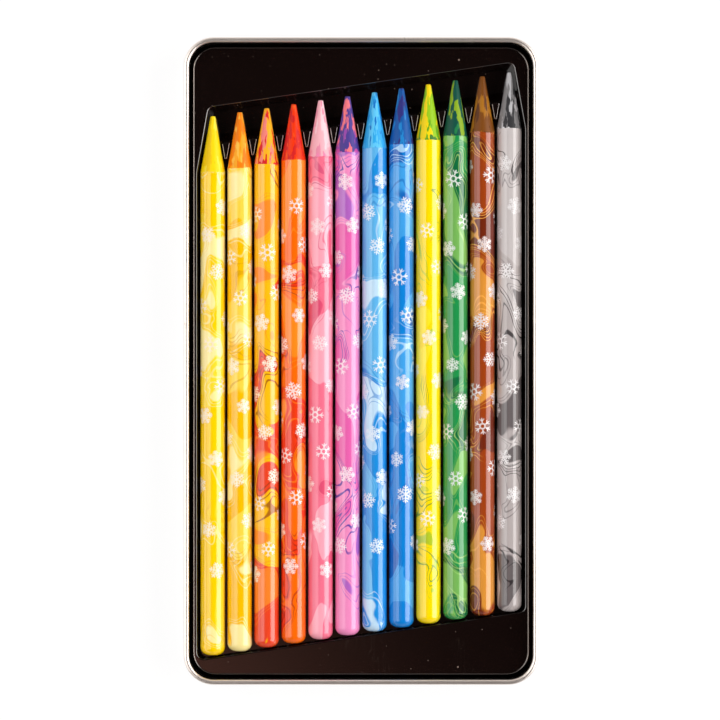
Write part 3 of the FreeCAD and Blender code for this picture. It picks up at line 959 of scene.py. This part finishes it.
# %% [markdown]
# The flat sheet is now bent round the barrel: a distance across the sheet becomes an angle, and the
# angle gives the place on the circle. A Simple Deform modifier bends too, but it would need setting
# up for every pencil. Here one node tree with named inputs serves all twelve.

# %% Bend the print round a barrel
def wrapped(tree, given, sheet):
    """The flat sheet bent round the barrel, a little above it."""
    at = axes(tree, tree.nodes.new("GeometryNodeInputPosition").outputs[0])
    axis = axes(tree, given["Axis"])
    angle = calc(tree, "DIVIDE", at["X"], given["Radius"])
    reach = calc(tree, "ADD", given["Radius"], given["Lift"])
    round_x = calc(tree, "MULTIPLY_ADD", reach, calc(tree, "SINE", angle), axis["X"])
    round_z = calc(tree, "MULTIPLY_ADD", reach, calc(tree, "COSINE", angle), axis["Z"])
    bent = node(tree, "ShaderNodeCombineXYZ", {"X": round_x, "Y": at["Y"], "Z": round_z}).outputs[0]
    return node(tree, "GeometryNodeSetPosition", {"Geometry": sheet, "Position": bent}).outputs[0]


def snow_print_tree():
    """The whole print as a node tree, and the identifiers of its inputs by name."""
    tree = bpy.data.node_groups.new("Printed snow", "GeometryNodeTree")
    tree.interface.new_socket("Geometry", in_out="OUTPUT", socket_type="NodeSocketGeometry")
    kinds = {"Count": "Int", "Seed": "Int", "First": "Float", "Step": "Float", "Radius": "Float",
             "Lift": "Float", "Axis": "Vector", "Small": "Float", "Large": "Float", "Ink": "Material"}
    kinds.update((name, "Object") for name in DESIGN_INPUTS)
    inputs = {}
    for name, kind in kinds.items():
        made = tree.interface.new_socket(name, in_out="INPUT", socket_type="NodeSocket" + kind)
        inputs[name] = made.identifier
    given = tree.nodes.new("NodeGroupInput").outputs
    printed = wrapped(tree, given, scattered(tree, given))
    inked = node(tree, "GeometryNodeSetMaterial", {"Geometry": printed, "Material": given["Ink"]})
    node(tree, "NodeGroupOutput", {"Geometry": inked.outputs[0]})
    return tree, inputs


SNOW, SNOW_INPUTS = snow_print_tree()
print("tree", SNOW.name, "with inputs", ", ".join(SNOW_INPUTS))

# %% [markdown]
# The ink is a thin white film under the clear lacquer, so it shines like the barrel and lets some
# of the ground colour through, unevenly. It could be half transparent, but mixing the ground colour
# into the white looks the same and renders faster. Each pencil gets its own tint, and its print
# becomes one plain mesh that rides with it.

# %% Ink and print
FLAKE_COUNT = 28
FLAKE_STEP = 4.0 * MM
FLAKE_FIRST = 9.0 * MM
FLAKE_SMALL = 2.2 * MM
FLAKE_LARGE = 2.7 * MM
INK_LIFT = 0.03 * MM
INK_WHITE = "fbfafc"
SHOW_THROUGH, SPECKLE_SWING = 0.34, 0.16
INK_ROUGH, SPECKLE_ROUGH = 0.2, 0.1


def ink_finish(pencil):
    """White ink that lets the ground colour of the pencil's lacquer through."""
    material, tree, surface, place = new_material("white_ink_%02d" % pencil.number)
    ground = paint(LACQUER[pencil.number - 1][0])
    speckle = noise(tree, place, scale=2400.0, seed=6.0, detail=2.0)
    through = raised(tree, SHOW_THROUGH - SPECKLE_SWING / 2, (speckle, SPECKLE_SWING))
    fill(tree, surface, {"Base Color": mix(tree, through, paint(INK_WHITE), ground), **CLEAR_COAT,
                         "Roughness": raised(tree, INK_ROUGH, (speckle, SPECKLE_ROUGH))})
    return material


def snow_piece(pencil):
    """The printed flakes of one pencil as a plain mesh."""
    carrier = put_in_scene("snow_carrier", bpy.data.meshes.new("snow_carrier"))
    modifier = carrier.modifiers.new("Printed snow", "NODES")
    modifier.node_group = SNOW
    values = {"Count": FLAKE_COUNT, "Seed": pencil.number, "First": pencil.edge - FLAKE_FIRST,
              "Step": FLAKE_STEP, "Radius": pencil.radius, "Lift": INK_LIFT,
              "Axis": (pencil.x, 0.0, pencil.z), "Small": FLAKE_SMALL, "Large": FLAKE_LARGE,
              "Ink": ink_finish(pencil)}
    values.update(zip(DESIGN_INPUTS, FLAKES))
    for name, value in values.items():
        modifier[SNOW_INPUTS[name]] = value
    evaluated = carrier.evaluated_get(bpy.context.evaluated_depsgraph_get())
    mesh = bpy.data.meshes.new_from_object(evaluated)
    bpy.data.objects.remove(carrier)
    return put_in_scene(pencil.name + "_snow", mesh)


for pencil in pencils:
    piece = snow_piece(pencil)
    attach(piece, pencil.name)
print("print of", piece.name, "has", len(piece.data.polygons), "faces")
for design in FLAKES:
    bpy.data.objects.remove(design)

# %% [markdown]
# The light is that of a product table: two soft boxes on the left, the lower one dimmer, and a
# brighter box on the right. The barrels mirror the boxes as long bands, and on the left the band
# fades towards the side. Point lamps would give hard dots instead, so area lamps are used. Lamp
# power follows from the brightness of the panel, which keeps the numbers meaningful.

# %% Light
LAMP_DISTANCE = 0.62
LAMP_LENGTH = 0.8
LAMP_TINT = (1.0, 0.98, 0.96)
# Name, side, nearest and farthest angle from straight up in degrees, brightness.
SOFT_BOXES = [
    ("left_soft_box", -1, 22, 52, 2.4),
    ("left_low_box", -1, 52, 86, 1.2),
    ("right_soft_box", 1, 36, 79, 4.5),
]


def soft_box(name, side, near_deg, far_deg, brightness):
    """A long panel beside the tin that spans two angles from straight up, as seen from the tin."""
    middle = math.radians((near_deg + far_deg) / 2)
    width = 2 * LAMP_DISTANCE * math.tan(math.radians(far_deg - near_deg) / 2)
    lamp = bpy.data.lights.new(name, "AREA")
    lamp.shape = "RECTANGLE"
    lamp.size = width
    lamp.size_y = LAMP_LENGTH
    lamp.energy = brightness * math.pi * width * LAMP_LENGTH
    lamp.color = LAMP_TINT
    box = put_in_scene(name, lamp)
    box.location = (side * LAMP_DISTANCE * math.sin(middle), 0.0, LAMP_DISTANCE * math.cos(middle))
    box.rotation_euler = (0.0, side * middle, 0.0)
    box.visible_camera = False
    print(name, "is", round(width, 2), "m wide and gives", round(lamp.energy, 2), "W")


for settings in SOFT_BOXES:
    soft_box(*settings)

# %% [markdown]
# Around the lamps is a room, and a glossy tray shows it like a mirror. A photographed room could be
# wrapped round the scene, but a few colours by direction do the same and can be set one by one. The
# room is pale near the horizon, more so behind the points than behind the butts, and dark overhead,
# so the flat tray stays black. A warm glow nearly overhead falls on the tray's near left corner.

# %% Room
ROOM_BY_BUTTS = (0.45, 0.42, 0.41, 1.0)
ROOM_BY_POINTS = (1.15, 1.09, 1.05, 1.0)
ROOM_OVERHEAD = (0.01, 0.0072, 0.0065, 1.0)
BUTTS_TO_POINTS = (-0.5, 0.3)
LOW_TO_HIGH = (0.1, 0.8)
GLOW_COLOUR = (0.6, 0.25, 0.18, 1.0)
GLOW_DIRECTION = (-0.12, -0.15, 0.98)
GLOW_REACH = 0.165


def studio_world():
    """A room that is pale low down and dark overhead, with a warm glow."""
    world = bpy.data.worlds.new("studio")
    world.use_nodes = True
    tree = world.node_tree
    direction = tree.nodes.new("ShaderNodeTexCoord").outputs["Generated"]
    toward = axes(tree, direction)
    low_room = mix(tree, soft_step(tree, toward["Y"], *BUTTS_TO_POINTS), ROOM_BY_BUTTS, ROOM_BY_POINTS)
    room = mix(tree, soft_step(tree, toward["Z"], *LOW_TO_HIGH), low_room, ROOM_OVERHEAD)
    from_glow = vector_calc(tree, "DISTANCE", direction, GLOW_DIRECTION)
    lit = mix(tree, soft_step(tree, from_glow, GLOW_REACH, 0.0), room, GLOW_COLOUR)
    wire(tree, tree.nodes["Background"].inputs["Color"], lit)
    return world


bpy.context.scene.world = studio_world()
print("world", bpy.context.scene.world.name, "glows within", GLOW_REACH, "of", GLOW_DIRECTION)

# %% [markdown]
# The table is a large white sheet. A plain white floor would look grey where the lamps are weak,
# and a floor that only glows would show no shadow. So the two are mixed: to the eye and in
# reflections the floor mostly glows white, and the rest is a matte surface that keeps a faint
# shadow. It lies a little below the tin, so that the two never share a plane.

# %% Floor
FLOOR_SIZE = 6.0
FLOOR_DROP = 0.2 * MM
FLOOR_GLOW = 0.85
FLOOR_WHITE = (1.0, 1.0, 1.0, 1.0)
WHITE_STRENGTH = 1.06
FLOOR_GREY = (0.8, 0.8, 0.8, 1.0)


def floor_finish():
    """A white table that keeps a faint shadow, and looks white to the eye and in reflections."""
    material, tree, surface, _ = new_material("white_table")
    fill(tree, surface, {"Base Color": FLOOR_GREY, "Roughness": 0.9})
    glow = node(tree, "ShaderNodeEmission", {"Color": FLOOR_WHITE, "Strength": WHITE_STRENGTH})
    rays = tree.nodes.new("ShaderNodeLightPath").outputs
    mirrored = calc(tree, "MAXIMUM", rays["Is Glossy Ray"], rays["Is Transmission Ray"])
    seen = calc(tree, "MAXIMUM", rays["Is Camera Ray"], mirrored)
    blend = node(tree, "ShaderNodeMixShader", {0: calc(tree, "MULTIPLY", seen, FLOOR_GLOW),
                                               1: surface.outputs[0], 2: glow.outputs[0]})
    wire(tree, tree.nodes["Material Output"].inputs["Surface"], blend.outputs[0])
    return material


half_floor = FLOOR_SIZE / 2
corners = [(x * half_floor, y * half_floor, -FLOOR_DROP) for x, y in ((-1, -1), (1, -1), (1, 1), (-1, 1))]
table_mesh = bpy.data.meshes.new("table")
table_mesh.from_pydata(corners, [], [(0, 1, 2, 3)])
table_mesh.materials.append(floor_finish())
table = put_in_scene("table", table_mesh)
print("table", FLOOR_SIZE, "m square")

# %% [markdown]
# The camera hangs straight above the tin with its top edge towards the pencil points. A near camera
# with a short lens would spread the barrels, so a long lens looks from almost a metre and keeps them
# parallel. Its focal length follows from the width of the view at the height of the rim.

# %% Camera
VIEW_WIDTH = 205.3 * MM
VIEW_CENTRE = (-0.3 * MM, 0.28 * MM)
CAMERA_HEIGHT = 0.9

camera_data = bpy.data.cameras.new("overhead")
camera_data.lens = camera_data.sensor_width * CAMERA_HEIGHT / VIEW_WIDTH
camera = put_in_scene("overhead", camera_data)
camera.location = (*VIEW_CENTRE, cad_box[1].z + CAMERA_HEIGHT)
bpy.context.scene.camera = camera
bpy.context.scene.view_settings.view_transform = "Standard"
print("lens", round(camera_data.lens, 1), "mm")
